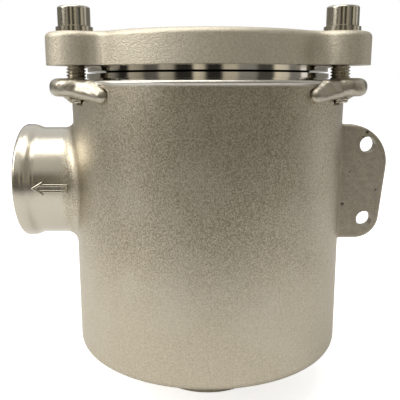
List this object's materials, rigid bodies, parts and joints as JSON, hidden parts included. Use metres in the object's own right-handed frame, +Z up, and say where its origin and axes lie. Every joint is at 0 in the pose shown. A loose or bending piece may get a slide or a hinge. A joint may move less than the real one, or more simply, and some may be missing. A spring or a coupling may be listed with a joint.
{
  "type": "sea water strainer",
  "caption": "Cast stainless sea water strainer: round body with side outlet, bottom inlet, mounting lug, screwed lid and an inner perforated basket.",
  "frame": {"origin": "centre of the inlet's end face, on which the strainer stands", "axes": "+Z up along the axis of the inlet, body and lid; -X along the outlet, the way the water leaves; +X towards the mounting lug; -Y towards the two front lid screws"},
  "size_m": [0.1698, 0.1364, 0.172],
  "materials": {
    "cast_steel": "bead-blasted casting",
    "screw_steel": "bright stainless",
    "washer_steel": "bright stainless",
    "sheet_steel": "mill finish sheet",
    "wire_steel": "drawn wire",
    "seal_rubber": "matte"
  },
  "bodies": {
    "root": {"strainer_body": "cast_steel", "strainer_lid": "cast_steel", "lid_o_ring": "seal_rubber", "cap_screw_rear": "screw_steel", "cap_screw_front_left": "screw_steel", "cap_screw_front_right": "screw_steel", "spring_washer_rear": "washer_steel", "spring_washer_front_left": "washer_steel", "spring_washer_front_right": "washer_steel", "basket_floor": "sheet_steel", "basket_riser": "sheet_steel", "basket_screen": "sheet_steel", "basket_rim": "sheet_steel", "basket_handle": "wire_steel"}
  },
  "joints": []
}
